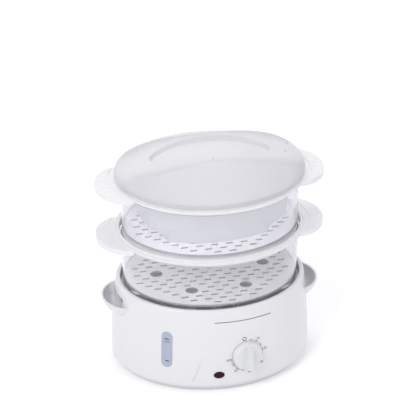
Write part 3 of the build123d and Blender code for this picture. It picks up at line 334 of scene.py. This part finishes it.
def metal(name, dark, light, low, high):
    """Bare metal."""
    material, tree, shader = new_material(name, Metallic=1.0)
    drift_colour(tree, shader, dark, light, METAL_DRIFT_LUMPS)
    uneven_polish(tree, shader, low, high, METAL_POLISH_LUMPS)
    add_grain(tree, shader, METAL_GRAIN_LUMPS, METAL_GRAIN_HEIGHT)
    return material


def clear(name, dark, light, low, high, clearness):
    """Clear or hazy plastic or glass."""
    material, tree, shader = new_material(name, Transmission_Weight=clearness, IOR=CLEAR_BENDING)
    drift_colour(tree, shader, dark, light, CLEAR_DRIFT_LUMPS)
    uneven_polish(tree, shader, low, high, HAZE_LUMPS)
    let_lamps_through(tree, shader, CLEAR_TINT)
    return material


def basket_plastic(name):
    """Clear walls that turn milky in the thick rims and the handles."""
    material, tree, shader = new_material(name, IOR=BASKET_BENDING)
    edge = RIM_EDGE / RIM_RADIUS
    milky = ramp(tree, oval_reach(tree, RIM_RADIUS, RIM_RADIUS * OVAL), 1 - edge, 1 + edge)
    for top in RIM_TOPS:
        foot = top - RIM_DEPTH
        rim = height_band(tree, (foot - RIM_FADE, foot), (top, top + RIM_FADE))
        milky = math_node(tree, "MAXIMUM", milky, rim)
    set_colour(tree, shader, mix_colours(tree, milky, BASKET_WALL, BASKET_RIM))
    tree.links.new(ramp(tree, milky, 0.0, 1.0, *BASKET_CLEARNESS), shader.inputs["Transmission Weight"])
    haze = math_node(tree, "MULTIPLY", object_noise(tree, HAZE_LUMPS), BASKET_HAZE)
    roughness = math_node(tree, "ADD", haze, ramp(tree, milky, 0.0, 1.0, *BASKET_ROUGHNESS))
    tree.links.new(roughness, shader.inputs["Roughness"])
    let_lamps_through(tree, shader, BASKET_TINT)
    return material


def lid_plastic(name):
    """Hazy lid: pale on the crown, with painted shade that makes the flanks, past the brow, darker."""
    material, tree, shader = new_material(name, Transmission_Weight=LID_CLEARNESS, IOR=CLEAR_BENDING)
    lid_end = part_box("lid")[1][0]
    # painted shade: the flanks outside the brow's oval get the darker colour
    flank_shade = ramp(tree, oval_reach(tree, lid_end - BROW_END_INSET, BROW_HALF_WIDTH), *BROW_FADE)
    set_colour(tree, shader, mix_colours(tree, flank_shade, LID_CROWN, LID_FLANK_PAINTED_SHADE))
    uneven_polish(tree, shader, *LID_ROUGHNESS, HAZE_LUMPS)
    let_lamps_through(tree, shader, CLEAR_TINT)
    return material


def grid_plastic(name):
    """White grids with painted shade: the walls of their slots and holes turn greyer below the top
    face.
    """
    material, tree, shader = new_material(name, Specular_IOR_Level=MOULDED_SHINE)
    # painted shade: a band below the top face of each grid darkens the slot and hole walls
    bands = []
    for node in ("lower_basket_grid", "upper_basket_grid"):
        foot, top = (corner[2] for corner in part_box(node))
        rise = (foot - SLOT_FACE_MARGIN, foot + SLOT_LOW_FADE)
        bands.append(height_band(tree, rise, (top - SLOT_SHADE_DEPTH, top - SLOT_FACE_MARGIN)))
    shade = math_node(tree, "MAXIMUM", *bands)
    set_colour(tree, shader, mix_colours(tree, shade, GRID_TOP, GRID_SLOT_PAINTED_SHADE))
    uneven_polish(tree, shader, *GRID_ROUGHNESS, POLISH_LUMPS)
    add_grain(tree, shader, GRAIN_LUMPS, GRAIN_HEIGHT)
    return material


# dark and light colour, then least and most roughness
MOULDED = {
    "housing_plastic": ((0.79, 0.792, 0.815), (0.82, 0.822, 0.842), 0.26, 0.34),
    "tank_plastic": ((0.82, 0.82, 0.85), (0.86, 0.86, 0.89), 0.34, 0.44),
    "tray_plastic": ((0.84, 0.845, 0.86), (0.88, 0.885, 0.895), 0.34, 0.44),
    "knob_plastic": ((0.76, 0.765, 0.785), (0.79, 0.795, 0.81), 0.25, 0.32),
    "gland_rubber": ((0.62, 0.62, 0.63), (0.68, 0.68, 0.69), 0.55, 0.65),
    "foot_rubber": ((0.02, 0.02, 0.02), (0.035, 0.035, 0.035), 0.7, 0.85),
    "seal_silicone": ((0.62, 0.6, 0.58), (0.7, 0.69, 0.67), 0.45, 0.6),
    "thermostat_resin": ((0.02, 0.016, 0.014), (0.035, 0.028, 0.024), 0.4, 0.5),
    "timer_resin": ((0.66, 0.63, 0.55), (0.72, 0.69, 0.62), 0.4, 0.5),
}
LENS = ((0.03, 0.004, 0.006), (0.045, 0.006, 0.008), 0.30, 0.38)
METALS = {
    "screw_steel": ((0.5, 0.5, 0.51), (0.6, 0.6, 0.61), 0.25, 0.4),
    "clamp_steel": ((0.48, 0.48, 0.49), (0.58, 0.58, 0.59), 0.3, 0.45),
    "cast_alloy": ((0.55, 0.55, 0.56), (0.64, 0.64, 0.65), 0.4, 0.55),
}
# the same, then the share of light that passes
CLEAR = {
    "lamp_glass": ((0.9, 0.6, 0.45), (0.95, 0.65, 0.5), 0.04, 0.07, 1.0),
    "window_plastic": ((0.56, 0.60, 0.74), (0.62, 0.66, 0.80), 0.144, 0.226, 0.3),
    "bowl_plastic": ((0.94, 0.945, 0.955), (0.96, 0.965, 0.975), 0.16, 0.25, 0.5),
}
PATTERNED = {"clear_plastic": basket_plastic, "lid_plastic": lid_plastic, "grid_plastic": grid_plastic}


def make_finishes():
    """One material for each slot of the record."""
    finishes = {"lens_plastic": moulded("lens_plastic", *LENS, shine=LENS_SHINE)}
    for make, rows in ((moulded, MOULDED), (metal, METALS), (clear, CLEAR)):
        for name, row in rows.items():
            finishes[name] = make(name, *row)
    for name, make in PATTERNED.items():
        finishes[name] = make(name)
    return finishes


def dress_nodes():
    """Gives every carried-over node the finish of its slot."""
    finishes = make_finishes()
    slots = {entry["node"]: entry["material_slot"] for entry in frame["record"]["subparts"]}
    for name, node in NODES.items():
        material = finishes[slots[name]]
        if not node.material_slots:
            node.data.materials.append(material)
        for slot in node.material_slots:
            slot.material = material


dress_nodes()

# -------------------------------------------------------- printing on the wall
INK = moulded("print_ink", (0.05, 0.05, 0.07), (0.08, 0.08, 0.10), 0.5, 0.6, grain=0.00001)
PRINT_LIFT = 0.00012
PRINT_DEPTH = -0.14

KNOB_AXIS = (0.024, 0.050)
DIAL_START = math.radians(-8)
DIAL_STEP = math.radians(45)
DIAL_RING = 0.0215
DIAL_LINE = 0.00016
DIAL_TICK = 0.0005
TICK_SPREAD = math.radians(3.2)
TICK_POINTS = 6
FIGURE_RING = 0.0252
FIGURE_SIZE = 0.0048
ZERO_RADIUS = 0.0023
ZERO_LINE = 0.00045
ZERO_POINTS = 49
MINUTES = (10, 20, 30, 40, 50, 60)

WINDOW_MIDDLE = -0.0755
MARK_POINTS = 12
# name, share of the height from the top, half length and half width of each mark
WINDOW_MARKS = (
    ("full", 0.195, 0.0026, 0.0007),
    ("full_line", 0.275, 0.0032, 0.00035),
    ("low", 0.815, 0.0022, 0.0008),
)

RULE_START = (-0.0174, 0.1010)
RULE_END = (0.0576, 0.0999)
RULE_POINTS = 60
RULE_HALF_WIDTH = 0.00045


def lay_on(piece, node):
    """Presses a flat print, drawn in front of the base, back onto a node."""
    wrap = piece.modifiers.new("on_wall", "SHRINKWRAP")
    wrap.target = NODES[node]
    wrap.wrap_method = "PROJECT"
    wrap.use_project_y = True
    wrap.use_project_z = False
    wrap.use_positive_direction = True
    wrap.use_negative_direction = False
    wrap.offset = PRINT_LIFT
    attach(piece, "base")


def add_piece(name, mesh):
    """Links a mesh as a printed piece of the object."""
    piece = bpy.data.objects.new(name, mesh)
    bpy.context.scene.collection.objects.link(piece)
    mesh.materials.clear()
    mesh.materials.append(INK)
    return piece


def make_figure(minutes, x, z):
    """Plain figure of the dial, centred on a place of the front."""
    curve = bpy.data.curves.new(f"figure_{minutes}", "FONT")
    curve.body = str(minutes)
    curve.size = FIGURE_SIZE
    curve.align_x = "CENTER"
    curve.align_y = "CENTER"
    text = bpy.data.objects.new(f"figure_{minutes}", curve)
    bpy.context.scene.collection.objects.link(text)
    mesh = bpy.data.meshes.new_from_object(text)
    bpy.data.objects.remove(text)
    flat = np.empty(len(mesh.vertices) * 3)
    mesh.vertices.foreach_get("co", flat)
    flat = flat.reshape(-1, 3)
    placed = np.column_stack([flat[:, 0] + x, np.full(len(flat), PRINT_DEPTH), flat[:, 1] + z])
    mesh.vertices.foreach_set("co", placed.ravel())
    mesh.name = f"dial_figure_{minutes}"
    lay_on(add_piece(f"dial_figure_{minutes}", mesh), "base_housing")


def line_mesh(name, x, z, half_width):
    """Flat strip in front of the base: a line of points, each spread by the half width to
    both sides of the line's own direction, which np.gradient gives."""
    along = np.hypot(np.gradient(x), np.gradient(z))
    side_x = -np.gradient(z) / along * half_width
    side_z = np.gradient(x) / along * half_width
    count = len(x)
    depth = np.full(count, PRINT_DEPTH)
    low = np.column_stack([x - side_x, depth, z - side_z])
    high = np.column_stack([x + side_x, depth, z + side_z])
    start = np.arange(count - 1)
    faces = np.column_stack([start, start + 1, start + 1 + count, start + count])
    mesh = bpy.data.meshes.new(name)
    mesh.from_pydata(np.vstack([low, high]).tolist(), [], faces.tolist())
    return mesh


def print_line(name, x, z, half_width, node="base_housing", slot="housing_plastic"):
    """Printed line on a node of the base."""
    lay_on(add_piece(name, line_mesh(name, x, z, half_width)), node)


def arc(start, end, radius, centre=KNOB_AXIS, count=120):
    """Points of an arc that runs clockwise from the top: x with the sine, z with the cosine."""
    angle = np.linspace(start, end, count)
    return centre[0] + radius * np.sin(angle), centre[1] + radius * np.cos(angle)


def on_dial(angle, radius):
    """Place on the front at an angle and a distance from the knob's axis."""
    x, z = arc(angle, angle, radius, count=1)
    return x[0], z[0]


def make_dial():
    """Open circle at the start, then figures every ten minutes round a thin ring with ticks between."""
    zero_centre = on_dial(DIAL_START, FIGURE_RING - ZERO_RADIUS / 2)
    print_line("dial_start", *arc(0, 2 * math.pi, ZERO_RADIUS, zero_centre, ZERO_POINTS), ZERO_LINE)
    ring_end = DIAL_START + len(MINUTES) * DIAL_STEP
    print_line("dial_ring", *arc(DIAL_START + DIAL_STEP / 2, ring_end, DIAL_RING), DIAL_LINE)
    for index, minutes in enumerate(MINUTES, 1):
        angle = DIAL_START + index * DIAL_STEP
        make_figure(minutes, *on_dial(angle, FIGURE_RING))
        for name, place in (("tick", angle), ("half_tick", angle - DIAL_STEP / 2)):
            tick = arc(place - TICK_SPREAD, place + TICK_SPREAD, DIAL_RING, count=TICK_POINTS)
            print_line(f"dial_{name}_{minutes}", *tick, DIAL_TICK)


def make_level_marks():
    """Full and low marks on the level window, at shares of its height from the top."""
    foot, top = (corner[2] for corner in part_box("level_window"))
    for name, share, half_length, half_width in WINDOW_MARKS:
        x = WINDOW_MIDDLE + np.linspace(-half_length, half_length, MARK_POINTS)
        z = np.full(MARK_POINTS, top - share * (top - foot))
        print_line(f"level_mark_{name}", x, z, half_width, "level_window", "window_plastic")


def make_rule():
    """Thin printed rule high on the front."""
    x, z = np.linspace(RULE_START, RULE_END, RULE_POINTS).T
    print_line("printed_rule", x, z, RULE_HALF_WIDTH)


make_dial()
make_level_marks()
make_rule()
